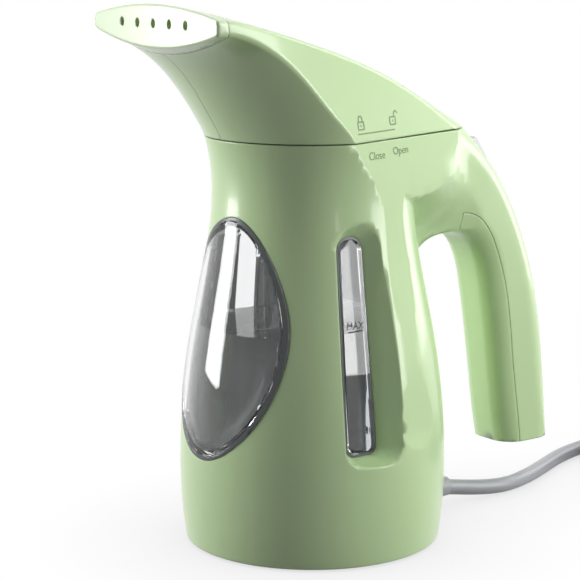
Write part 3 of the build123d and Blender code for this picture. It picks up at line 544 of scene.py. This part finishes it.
@dataclass
class HoleRims:
    """Rims set flush round the row of steam holes, repeated by Geometry Nodes."""

    count: int = 5
    pitch: float = 0.01184
    half_width: float = 0.00162
    half_height: float = 0.00202
    wire: float = 0.00026
    height: float = 0.222
    ring_steps: int = 28
    wire_steps: int = 8
    smooth_angle: float = 60.0

    def tree(self, finish: Finish) -> bpy.types.NodeTree:
        """Builds the node tree that repeats one rim along a line.

        Args:
            finish: finish of the rims.

        Returns:
            The geometry node tree.
        """
        tree = bpy.data.node_groups.new("hole_rims", "GeometryNodeTree")
        sockets = tree.interface
        sockets.new_socket("Count", in_out="INPUT", socket_type="NodeSocketInt")
        for name in ("Pitch", "Start", "Half width", "Half height", "Wire"):
            sockets.new_socket(name, in_out="INPUT", socket_type="NodeSocketFloat")
        sockets.new_socket("Geometry", in_out="OUTPUT", socket_type="NodeSocketGeometry")
        nodes, links = tree.nodes, tree.links
        given = nodes.new("NodeGroupInput")
        made = nodes.new("NodeGroupOutput")
        row = nodes.new("GeometryNodeMeshLine")
        start = nodes.new("ShaderNodeCombineXYZ")
        step = nodes.new("ShaderNodeCombineXYZ")
        ring = nodes.new("GeometryNodeCurvePrimitiveCircle")
        ring.inputs["Resolution"].default_value = self.ring_steps
        ring.inputs["Radius"].default_value = 1.0
        oval = nodes.new("GeometryNodeTransform")
        size = nodes.new("ShaderNodeCombineXYZ")
        size.inputs["Z"].default_value = 1.0
        section = nodes.new("GeometryNodeCurvePrimitiveCircle")
        section.inputs["Resolution"].default_value = self.wire_steps
        pipe = nodes.new("GeometryNodeCurveToMesh")
        place = nodes.new("GeometryNodeInstanceOnPoints")
        place.inputs["Rotation"].default_value = (0.0, math.pi / 2, 0.0)
        real = nodes.new("GeometryNodeRealizeInstances")
        paint = nodes.new("GeometryNodeSetMaterial")
        paint.inputs["Material"].default_value = finish.material()
        links.new(given.outputs["Count"], row.inputs["Count"])
        links.new(given.outputs["Start"], start.inputs["Y"])
        links.new(start.outputs["Vector"], row.inputs["Start Location"])
        links.new(given.outputs["Pitch"], step.inputs["Y"])
        links.new(step.outputs["Vector"], row.inputs["Offset"])
        links.new(given.outputs["Half height"], size.inputs["X"])
        links.new(given.outputs["Half width"], size.inputs["Y"])
        links.new(ring.outputs["Curve"], oval.inputs["Geometry"])
        links.new(size.outputs["Vector"], oval.inputs["Scale"])
        links.new(given.outputs["Wire"], section.inputs["Radius"])
        links.new(oval.outputs["Geometry"], pipe.inputs["Curve"])
        links.new(section.outputs["Curve"], pipe.inputs["Profile Curve"])
        links.new(row.outputs["Mesh"], place.inputs["Points"])
        links.new(pipe.outputs["Mesh"], place.inputs["Instance"])
        links.new(place.outputs["Instances"], real.inputs["Geometry"])
        links.new(real.outputs["Geometry"], paint.inputs["Geometry"])
        links.new(paint.outputs["Geometry"], made.inputs["Geometry"])
        return tree

    def build(self) -> None:
        """Evaluates the tree and sets the rims into the nozzle's face."""
        tree = self.tree(Finishes.NOZZLE)
        holder = bpy.data.objects.new("hole_rims_maker", bpy.data.meshes.new("hole_rims_maker"))
        bpy.context.scene.collection.objects.link(holder)
        maker = holder.modifiers.new("hole_rims", "NODES")
        maker.node_group = tree
        values = {"Count": self.count, "Pitch": self.pitch, "Start": -self.pitch * (self.count - 1) / 2,
                  "Half width": self.half_width, "Half height": self.half_height, "Wire": self.wire}
        for socket in tree.interface.items_tree:
            if socket.in_out == "INPUT":
                maker[socket.identifier] = values[socket.name]
        mesh = MeshTools.evaluated(holder)
        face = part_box("nozzle_plate")[0].x
        for vertex in mesh.vertices:
            vertex.co = (vertex.co.x + face + self.wire, vertex.co.y, vertex.co.z + self.height)
        MeshTools.smooth(mesh, self.smooth_angle)
        MeshTools.add("hole_rims", mesh, Body.HEAD, "nozzle", Finishes.NOZZLE)


@dataclass
class TankGroup(SubAssembly):
    """Clear tank, its seals and the collar above it."""

    dressings: list[Dressing] = field(default_factory=lambda: [
        Dressing("water_tank", Finishes.TANK, "clear_tank", angle=12.0),
        Dressing("window_gasket", Finishes.SEAL, "seal_dark"),
        Dressing("gauge_gasket_left", Finishes.SEAL, "seal_dark"),
        Dressing("gauge_gasket_right", Finishes.SEAL, "seal_dark"),
        Dressing("tank_seal", Finishes.SILICONE, "silicone"),
        Dressing("neck_collar", Finishes.MATT_GREEN, "collar"),
    ])


@dataclass
class Water:
    """Water in the tank, shaped by the tank's inner wall, or by spare_reach where a ray finds no wall."""

    nodes: dict[str, bpy.types.Object]
    low: float = 0.0352
    level: float = 0.0955
    gap: float = 0.00025
    spare_reach: float = 0.03
    rings: int = 14
    spokes: int = 96
    smooth_angle: float = 40.0

    def build(self) -> None:
        """Casts rays outwards from the axis to the tank's inner wall and fills the space between."""
        work = MeshTools.merged(self.nodes["water_tank"].data)
        wall = BVHTree.FromBMesh(work)
        work.free()
        places: list[Point] = []
        for ring in range(self.rings):
            z = self.low + (self.level - self.low) * ring / (self.rings - 1)
            for spoke in range(self.spokes):
                turn = 2 * math.pi * spoke / self.spokes
                way = Vector((math.cos(turn), math.sin(turn), 0))
                distance = wall.ray_cast(Vector((0, 0, z)), way)[3]
                reach = (self.spare_reach if distance is None else distance) - self.gap
                places.append((way.x * reach, way.y * reach, z))
        faces: list[tuple[int, ...]] = []
        for ring in range(self.rings - 1):
            for spoke in range(self.spokes):
                first = ring * self.spokes + spoke
                after = ring * self.spokes + (spoke + 1) % self.spokes
                faces.append((first, after, after + self.spokes, first + self.spokes))
        faces.append(tuple(reversed(range(self.spokes))))
        faces.append(tuple(range((self.rings - 1) * self.spokes, self.rings * self.spokes)))
        mesh = bpy.data.meshes.new("tank_water")
        mesh.from_pydata(places, [], faces)
        MeshTools.smooth(mesh, self.smooth_angle)
        MeshTools.add("tank_water", mesh, Body.BASE, "clear_tank", Finishes.WATER)


@dataclass
class HeaterGroup(SubAssembly):
    """Heater plate, element, controls and wiring under the tank."""

    dressings: list[Dressing] = field(default_factory=lambda: [
        Dressing("heater_seal", Finishes.SILICONE, "silicone"),
        Dressing("heater_plate", Finishes.STEEL, "steel"),
        Dressing("heater_screws", Finishes.SCREW, "screw_steel"),
        Dressing("heating_element", Finishes.CASTING, "element"),
        Dressing("thermostat", Finishes.PHENOLIC, "control"),
        Dressing("thermal_fuse", Finishes.PHENOLIC, "control"),
        Dressing("terminal_block", Finishes.NYLON, "insulator"),
        Dressing("wiring", Finishes.SLEEVE, "wire"),
    ])


@dataclass
class BaseGroup(SubAssembly):
    """Base cover, its screws and feet, and the cord clamp."""

    dressings: list[Dressing] = field(default_factory=lambda: [
        Dressing("base_cover", Finishes.MATT_GREEN, "base"),
        Dressing("base_screws", Finishes.SCREW, "screw_steel"),
        Dressing("rubber_feet", Finishes.FOOT, "foot_rubber"),
        Dressing("cord_clamp", Finishes.NYLON, "insulator"),
        Dressing("clamp_screws", Finishes.SCREW, "screw_steel"),
    ])


@dataclass
class SwitchGroup(SubAssembly):
    """Switch module and its pin, behind the rocker."""

    dressings: list[Dressing] = field(default_factory=lambda: [
        Dressing("switch_module", Finishes.BLACK, "switch_black"),
        Dressing("rocker_pin", Finishes.STEEL, "steel"),
    ])


@dataclass
class RockerGroup(SubAssembly):
    """The rocker itself."""

    body: Body = Body.ROCKER
    dressings: list[Dressing] = field(default_factory=lambda: [
        Dressing("power_rocker", Finishes.ROCKER, "rocker_grey", angle=28.0),
    ])


@dataclass
class MainsCord(SubAssembly):
    """Mains cord on the floor, wound into a tied coil that ends in its plug.

    Its route, coil and tail are in millimetres.
    """

    diameter: float = 0.007
    length: float = 1.80
    round_steps: int = 5
    span_steps: int = 4
    route: Sequence[Point] = (
        (44, 0, 10.98), (59, 0, 9.59), (75, -0.3, 7.9), (91, -2.6, 5.2), (108, -3.4, 3.6), (126, 1.6, 3.6),
        (144, 9.8, 3.6), (165, 20.3, 3.6), (190, 26.6, 3.8), (215, 22, 4.1), (239, 14.9, 4.3),
    )
    coil_centre: FlatPoint = (214, -29)
    coil_out: float = 50.5
    coil_in: float = 29.5
    layers: tuple[float, float] = (4.3, 11.3)
    start_angle: float = 60.3
    wraps: float = 3.0
    climb: float = 0.25
    steps: int = 20
    tail: Sequence[Point] = ((265.0, -45, 10.9), (266.3, -58, 8.4), (266.5, -68, 7.8))
    dressings: list[Dressing] = field(default_factory=lambda: [
        Dressing("cord_gland", Finishes.CORD, "cord_grey"),
        Dressing("cord_tie", Finishes.TIE, "tie_black"),
        Dressing("plug_body", Finishes.CORD, "cord_grey"),
        Dressing("plug_pins", Finishes.BRASS, "pin_brass"),
    ])

    def coil_points(self) -> list[Point]:
        """Works out the coil: inwards on the lower layer, up, and outwards on the upper layer.

        It ends on its +X side, where the tail to the plug leaves it.

        Returns:
            Points in millimetres.
        """
        low, high = self.layers
        centre_x, centre_y = self.coil_centre
        turns = math.ceil(self.wraps + self.climb + self.wraps) - self.start_angle / 360
        last = -math.floor(turns) * 360
        climb_from = self.start_angle - self.wraps * 360
        climb_to = climb_from - self.climb * 360
        points: list[Point] = []
        angle = self.start_angle - 360 / self.steps
        while angle > last:
            if angle > climb_from:
                share = (self.start_angle - angle) / (self.wraps * 360)
                radius, z = self.coil_out + (self.coil_in - self.coil_out) * share, low
            elif angle > climb_to:
                share = (climb_from - angle) / (climb_from - climb_to)
                radius, z = self.coil_in, low + (high - low) * share
            else:
                share = (climb_to - angle) / (climb_to - last)
                radius, z = self.coil_in + (self.coil_out - self.coil_in) * share, high
            turn = math.radians(angle)
            points.append((centre_x + radius * math.cos(turn), centre_y + radius * math.sin(turn), z))
            angle -= 360 / self.steps
        return points

    def build(self) -> None:
        """Dresses the pieces on the cord and winds the cord itself."""
        pieces = {dressing.node: self.dress(dressing) for dressing in self.dressings}
        points = [*self.route, *self.coil_points(), *self.tail]
        curve = bpy.data.curves.new("power_cord", "CURVE")
        curve.dimensions = "3D"
        curve.bevel_depth = self.diameter / 2
        curve.bevel_resolution = self.round_steps
        curve.resolution_u = self.span_steps
        curve.use_fill_caps = True
        spline = curve.splines.new("NURBS")
        spline.points.add(len(points) - 1)
        for knot, place in zip(spline.points, points):
            knot.co = (place[0] * MM, place[1] * MM, place[2] * MM, 1.0)
        spline.order_u = 3
        spline.use_endpoint_u = True
        cord = bpy.data.objects.new("power_cord_run", curve)
        bpy.context.scene.collection.objects.link(cord)
        curve.materials.append(Finishes.CORD.material())
        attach(cord, self.body.value)
        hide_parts("power_cord", "cord_coil")
        LOG.info("cord with %d points", len(points))


@dataclass
class Marks:
    """Signs and words on the flanks, in a darker green of painted shade that stands in for the shading of
    embossed marks, and the printed level line on the gauge.

    A side is -1 towards -Y and 1 towards +Y.
    """

    SIDES = ((-1, "right"), (1, "left"))
    GAUGE_SIDE = -1

    nodes: dict[str, bpy.types.Object]
    stroke: float = 0.00055
    stroke_step: float = 0.0015
    lift: float = 0.00012
    cast_from: float = 0.1
    lock_places: Sequence[tuple[float, float, bool]] = ((-0.0058, 0.1809, True), (0.0158, 0.1813, False))
    case_half_width: float = 0.0019
    case_half_height: float = 0.0015
    keyhole_half: float = 0.0004
    shackle_radius: float = 0.0012
    shackle_height: float = 0.0026
    shackle_steps: int = 8
    open_shift: float = 0.0024
    bar: Sequence[FlatPoint] = ((-0.0085, 0.1777), (0.0165, 0.1777))
    words: Sequence[Word] = (("Close", 0.0030, 0.1668), ("Open", 0.0190, 0.1676))
    word_size: float = 0.0046
    letter_steps: int = 3
    level_x: float = -0.0094
    level_size: float = 0.0042
    level: float = 0.0975
    level_half: float = 0.0036
    level_gap: float = 0.0009

    def build(self) -> None:
        """Makes the signs and words on both flanks and the level line on the gauge."""
        for side, tag in self.SIDES:
            outlines: list[Sequence[FlatPoint]] = [self.bar]
            for x, z, shut in self.lock_places:
                outlines.extend(self.lock(x, z, shut))
            signs = self.strokes("lock_signs_" + tag, outlines)
            self.press(signs, self.half(side), side)
            # The signs and words wear the darker green of painted shade.
            MeshTools.add("lock_signs_" + tag, signs, Body.HEAD, "housing", Finishes.EMBOSS_SHADE)
            words = self.lettering("twist_words_" + tag, self.words, self.word_size, side)
            self.press(words, "body_shell", side)
            MeshTools.add("twist_words_" + tag, words, Body.BASE, "housing", Finishes.EMBOSS_SHADE)
        word = ("MAX", self.level_x, self.level + self.level_gap)
        level = self.lettering("level_mark", [word], self.level_size, self.GAUGE_SIDE)
        self.press(level, "water_tank", self.GAUGE_SIDE)
        MeshTools.add("level_mark", level, Body.BASE, "clear_tank", Finishes.PRINT)
        ends = [(self.level_x - self.level_half, self.level), (self.level_x + self.level_half, self.level)]
        line = self.strokes("level_line", [ends])
        self.press(line, "water_tank", self.GAUGE_SIDE)
        MeshTools.add("level_line", line, Body.BASE, "clear_tank", Finishes.PRINT)

    @staticmethod
    def half(side: int) -> str:
        """Name of the head half on one side."""
        low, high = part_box("head_left")
        return "head_left" if (low.y + high.y) * side > 0 else "head_right"

    def lock(self, x: float, z: float, shut: bool) -> list[list[FlatPoint]]:
        """Outlines of a padlock sign.

        Args:
            x, z: middle of its case.
            shut: whether the shackle is closed.

        Returns:
            Lines of points on the flank.
        """
        left, right = x - self.case_half_width, x + self.case_half_width
        low, high = z - self.case_half_height, z + self.case_half_height
        case = [(left, low), (right, low), (right, high), (left, high), (left, low)]
        keyhole = [(x, z - self.keyhole_half), (x, z + self.keyhole_half)]
        middle = x if shut else x + self.open_shift
        radius = self.shackle_radius
        shackle = [(middle + radius, high)] if shut else []
        for step in range(self.shackle_steps + 1):
            turn = math.pi * step / self.shackle_steps
            bow_x, bow_z = radius * math.cos(turn), radius * math.sin(turn)
            shackle.append((middle + bow_x, z + self.shackle_height + bow_z))
        shackle.append((middle - radius, high))
        return [case, keyhole, shackle]

    def strokes(self, name: str, lines: Sequence[Sequence[FlatPoint]]) -> bpy.types.Mesh:
        """Draws lines as narrow strips in the XZ plane.

        Args:
            name: mesh name.
            lines: lines of points.

        Returns:
            The mesh, flat at y = 0.
        """
        places: list[Point] = []
        faces: list[tuple[int, ...]] = []
        for line in lines:
            for start, end in zip(line, line[1:]):
                run = math.hypot(end[0] - start[0], end[1] - start[1])
                along = ((end[0] - start[0]) / run, (end[1] - start[1]) / run)
                pieces = max(1, int(run / self.stroke_step))
                for k in range(pieces + 1):
                    share = k / pieces
                    x = start[0] + (end[0] - start[0]) * share
                    z = start[1] + (end[1] - start[1]) * share
                    places.append((x - along[1] * self.stroke / 2, 0.0, z + along[0] * self.stroke / 2))
                    places.append((x + along[1] * self.stroke / 2, 0.0, z - along[0] * self.stroke / 2))
                    if k:
                        last = len(places) - 1
                        faces.append((last - 3, last - 2, last, last - 1))
        mesh = bpy.data.meshes.new(name)
        mesh.from_pydata(places, [], faces)
        return mesh

    def lettering(self, name: str, words: Sequence[Word], size: float, side: int) -> bpy.types.Mesh:
        """Writes words in the XZ plane, readable from one side.

        Args:
            name: mesh name.
            words: word, middle x and base line z.
            size: letter size.
            side: side that they are read from.

        Returns:
            The mesh, flat at y = 0.
        """
        work = bmesh.new()
        for word, x, z in words:
            curve = bpy.data.curves.new(name + "_" + word, "FONT")
            curve.body = word
            curve.size = size
            curve.align_x = "CENTER"
            curve.resolution_u = self.letter_steps
            holder = bpy.data.objects.new(name + "_" + word, curve)
            bpy.context.scene.collection.objects.link(holder)
            flat = MeshTools.evaluated(holder)
            for vertex in flat.vertices:
                vertex.co = (x - side * vertex.co.x, 0.0, z + vertex.co.y)
            work.from_mesh(flat)
            bpy.data.meshes.remove(flat)
        mesh = bpy.data.meshes.new(name)
        work.to_mesh(mesh)
        work.free()
        return mesh

    def press(self, mesh: bpy.types.Mesh, node: str, side: int) -> None:
        """Lays a flat mesh just clear of the outer surface of a node.

        Args:
            mesh: mesh in the XZ plane.
            node: node that carries it.
            side: side of the node.
        """
        target = bmesh.new()
        target.from_mesh(self.nodes[node].data)
        wall = BVHTree.FromBMesh(target)
        target.free()
        for vertex in mesh.vertices:
            start = Vector((vertex.co.x, side * self.cast_from, vertex.co.z))
            place = wall.ray_cast(start, Vector((0, -side, 0)))[0]
            if place is not None:
                vertex.co.y = place.y + side * self.lift
        mesh.update()


@dataclass(frozen=True)
class Softbox:
    """A rectangular light: degrees to the right of the camera, distance, height, size and watts."""

    name: str
    right: float
    away: float
    height: float
    size: tuple[float, float]
    power: float


@dataclass
class Studio:
    """Pale floor, soft lights and the camera of the photograph."""

    azimuth: float = -36.0
    distance: float = 0.8188
    height: float = 0.2586
    pitch: float = 10.49
    focal_px: float = 1955.9
    offset_px: tuple[float, float] = (22.3, 0.7)
    sensor: float = 36.0
    clip_end: float = 100.0
    surround: float = 0.01
    floor_reach: float = 14.0
    floor_drop: float = 0.0002
    floor_grey: float = 0.22
    shadow_reach: float = 0.07
    shadow_samples: int = 12
    shadow_level: float = 0.72
    aim_height: float = 0.11
    softboxes: Sequence[Softbox] = (
        Softbox("right_key", 80.0, 1.15, 0.5, (0.5, 1.4), 15.0),
        Softbox("right_rim", 125.0, 1.1, 0.5, (0.4, 1.3), 5.5),
        Softbox("left_key", -100.0, 1.05, 0.5, (0.4, 1.3), 17.0),
        Softbox("strip", 27.0, 1.1, 0.6, (0.06, 1.1), 1.4),
        Softbox("top", 150.0, 0.35, 1.2, (0.9, 0.9), 3.2),
    )

    def build(self) -> None:
        """Makes the camera, the floor, the world and the lights."""
        self.camera()
        self.floor()
        self.world()
        for softbox in self.softboxes:
            self.hang(softbox)

    def camera(self) -> None:
        """Places the camera at the viewing angle of the photograph."""
        data = bpy.data.cameras.new("camera")
        data.sensor_width = self.sensor
        data.lens = self.sensor * self.focal_px / IMAGE_PX
        data.shift_x = -self.offset_px[0] / IMAGE_PX
        data.shift_y = self.offset_px[1] / IMAGE_PX
        data.clip_end = self.clip_end
        camera = bpy.data.objects.new("camera", data)
        bpy.context.scene.collection.objects.link(camera)
        turn = math.radians(self.azimuth)
        camera.location = (math.sin(turn) * self.distance, -math.cos(turn) * self.distance, self.height)
        camera.rotation_euler = (math.radians(90 - self.pitch), 0, turn)
        bpy.context.scene.camera = camera

    def floor(self) -> None:
        """Lays a wide pale floor that keeps a soft shadow where the steamer stands."""
        mesh = bpy.data.meshes.new("floor")
        reach = self.floor_reach
        places = [(-reach, -reach, 0), (reach, -reach, 0), (reach, reach, 0), (-reach, reach, 0)]
        mesh.from_pydata(places, [], [(0, 1, 2, 3)])
        floor = bpy.data.objects.new("floor", mesh)
        floor.location.z = -self.floor_drop
        bpy.context.scene.collection.objects.link(floor)
        paint = bpy.data.materials.new("pale_floor")
        paint.use_nodes = True
        nodes, links = paint.node_tree.nodes, paint.node_tree.links
        nodes.clear()
        out = nodes.new("ShaderNodeOutputMaterial")
        matt = nodes.new("ShaderNodeBsdfDiffuse")
        matt.inputs["Color"].default_value = (self.floor_grey, self.floor_grey, self.floor_grey, 1)
        near = nodes.new("ShaderNodeAmbientOcclusion")
        near.samples = self.shadow_samples
        near.inputs["Distance"].default_value = self.shadow_reach
        shade = nodes.new("ShaderNodeMapRange")
        shade.inputs["To Min"].default_value = self.shadow_level
        glow = nodes.new("ShaderNodeEmission")
        glow.inputs["Color"].default_value = (1, 1, 1, 1)
        either = nodes.new("ShaderNodeMixShader")
        links.new(near.outputs["AO"], shade.inputs["Value"])
        links.new(shade.outputs["Result"], glow.inputs["Strength"])
        links.new(self.seen(paint.node_tree), either.inputs["Fac"])
        links.new(matt.outputs["BSDF"], either.inputs[1])
        links.new(glow.outputs["Emission"], either.inputs[2])
        links.new(either.outputs["Shader"], out.inputs["Surface"])
        mesh.materials.append(paint)

    @staticmethod
    def seen(tree: bpy.types.NodeTree) -> bpy.types.NodeSocket:
        """Adds the test for rays that show a surface: camera, gloss and clear parts.

        Args:
            tree: node tree to add it to.

        Returns:
            The socket that is 1 on such rays.
        """
        rays = tree.nodes.new("ShaderNodeLightPath")
        first = maths(tree, "MAXIMUM")
        second = maths(tree, "MAXIMUM")
        tree.links.new(rays.outputs["Is Camera Ray"], first.inputs[0])
        tree.links.new(rays.outputs["Is Glossy Ray"], first.inputs[1])
        tree.links.new(first.outputs["Value"], second.inputs[0])
        tree.links.new(rays.outputs["Is Transmission Ray"], second.inputs[1])
        return second.outputs["Value"]

    def world(self) -> None:
        """Gives a dim surround, shown as white behind the steamer, in gloss and through clear parts."""
        world = bpy.data.worlds.new("studio")
        world.use_nodes = True
        nodes, links = world.node_tree.nodes, world.node_tree.links
        level = nodes.new("ShaderNodeMapRange")
        level.inputs["To Min"].default_value = self.surround
        links.new(self.seen(world.node_tree), level.inputs["Value"])
        links.new(level.outputs["Result"], nodes["Background"].inputs["Strength"])
        nodes["Background"].inputs["Color"].default_value = (1.0, 1.0, 1.0, 1)
        bpy.context.scene.world = world

    def hang(self, softbox: Softbox) -> None:
        """Hangs one light that faces the steamer.

        Args:
            softbox: place, size and power of the light.
        """
        data = bpy.data.lights.new(softbox.name, "AREA")
        data.shape = "RECTANGLE"
        data.size, data.size_y = softbox.size
        data.energy = softbox.power
        light = bpy.data.objects.new(softbox.name, data)
        bpy.context.scene.collection.objects.link(light)
        turn = math.radians(self.azimuth + softbox.right)
        place = Vector((math.sin(turn) * softbox.away, -math.cos(turn) * softbox.away, softbox.height))
        light.location = place
        facing = Vector((0, 0, self.aim_height)) - place
        light.rotation_euler = facing.to_track_quat("-Z", "Y").to_euler()


def main() -> None:
    """Builds the steamer's looks and the studio."""
    logging.basicConfig(level=logging.INFO, format="%(name)s: %(message)s")
    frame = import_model()
    nodes = frame["nodes"]
    bpy.context.scene.view_settings.view_transform = "Standard"
    groups = (Housing, SteamHead, TankGroup, HeaterGroup, BaseGroup, SwitchGroup, RockerGroup, MainsCord)
    for group in groups:
        group(nodes).build()
    HoleRims().build()
    Water(nodes).build()
    Marks(nodes).build()
    Studio().build()


if __name__ == "__main__":
    main()
